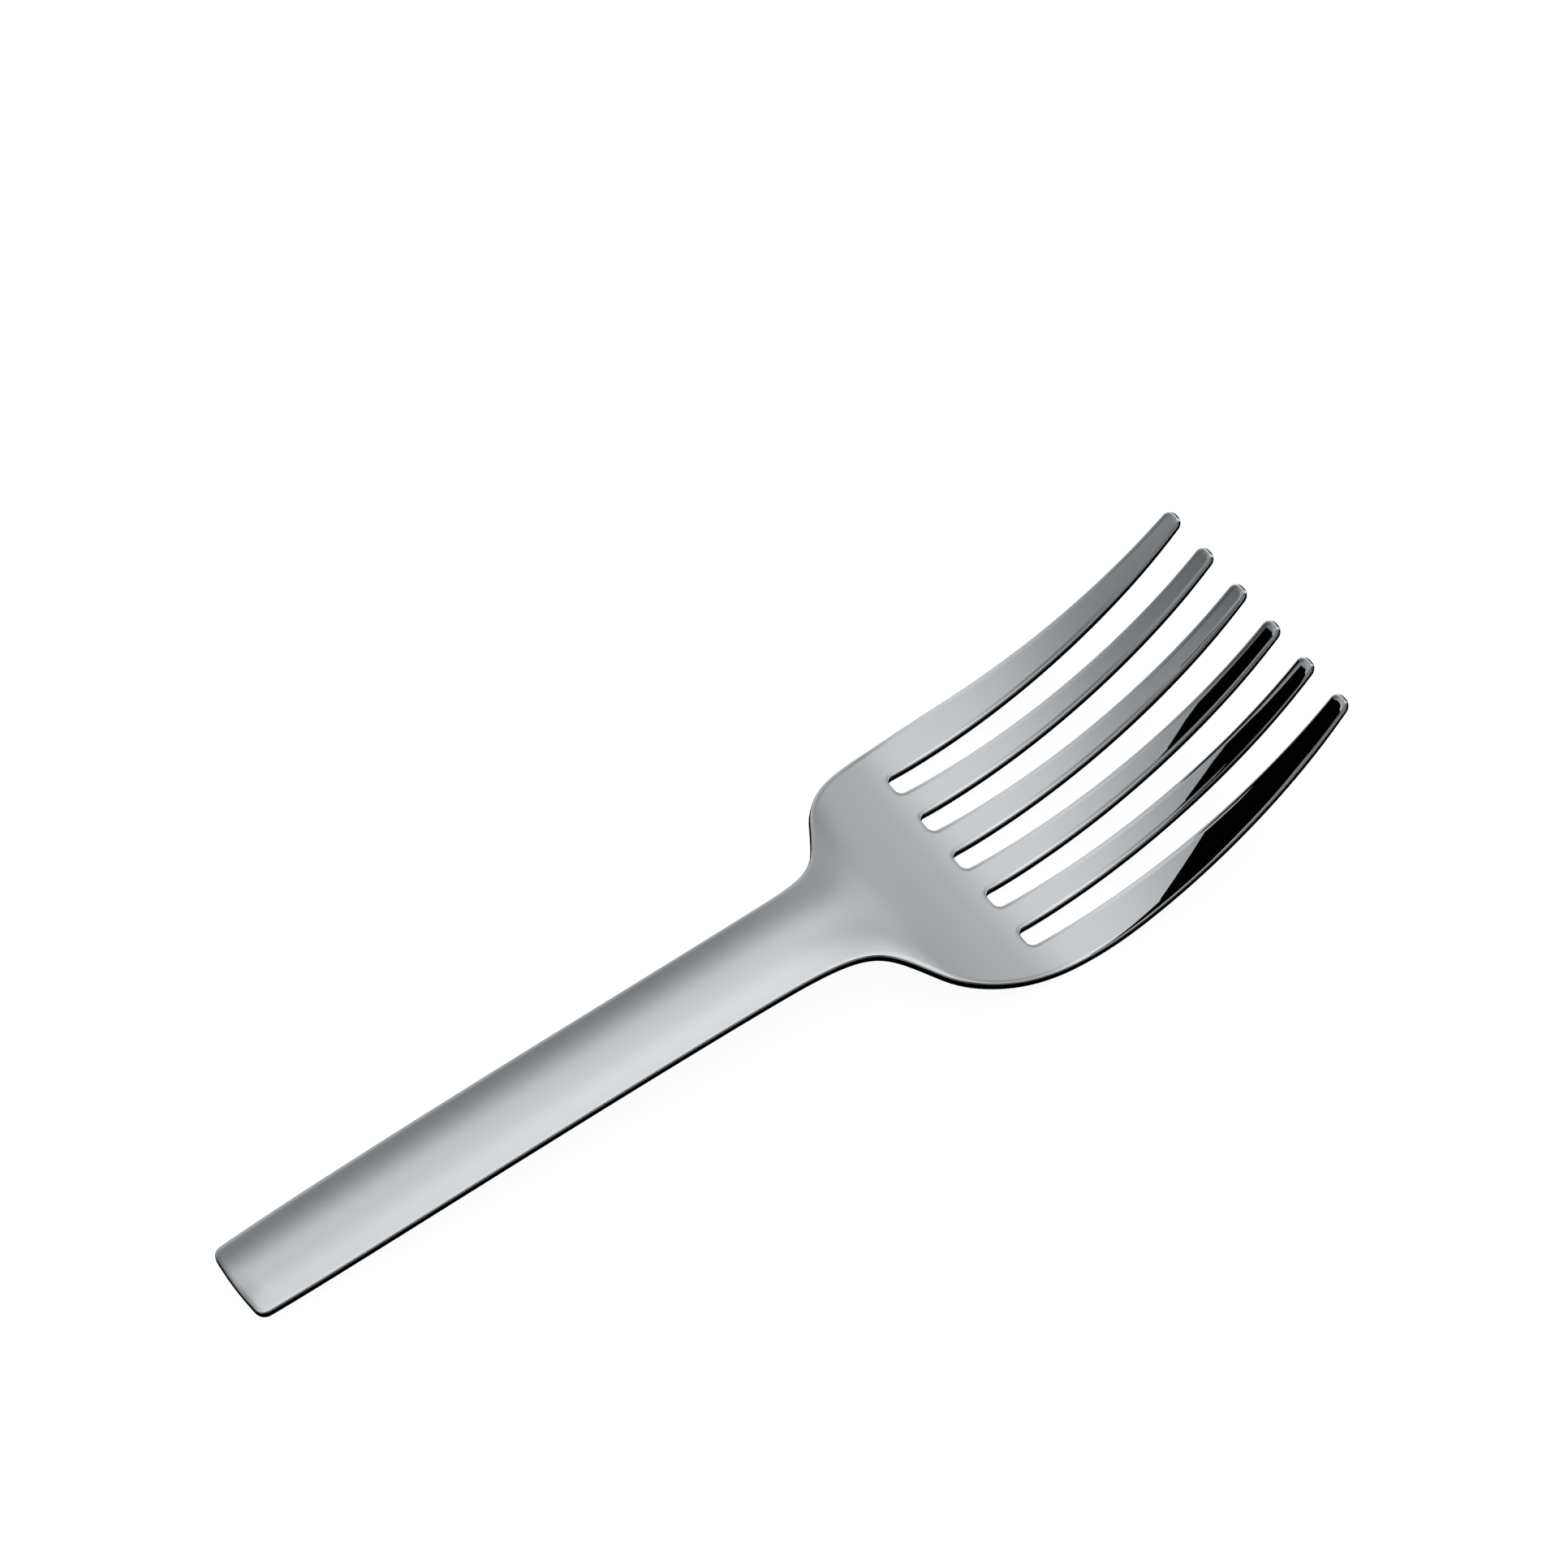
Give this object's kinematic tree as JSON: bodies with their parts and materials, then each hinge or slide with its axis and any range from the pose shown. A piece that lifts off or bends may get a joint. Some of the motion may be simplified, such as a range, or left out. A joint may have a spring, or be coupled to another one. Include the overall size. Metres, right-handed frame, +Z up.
{
  "type": "serving fork",
  "caption": "Serving fork pressed from steel sheet, with a long crowned handle, a flared neck and a wide head of upturned, tapering tines.",
  "frame": {"origin": "middle of the bounding box in X and Y, at the height of the surface that the fork rests on", "axes": "+Y along the fork from the handle's end to the tines, +X across the head to the right, +Z up, as the fork lies at rest"},
  "size_m": [0.0742, 0.2724, 0.0351],
  "materials": {
    "stainless_steel": "satin, finely brushed along the handle, with polished rims"
  },
  "bodies": {
    "root": {"serving_fork": "stainless_steel"}
  },
  "joints": []
}
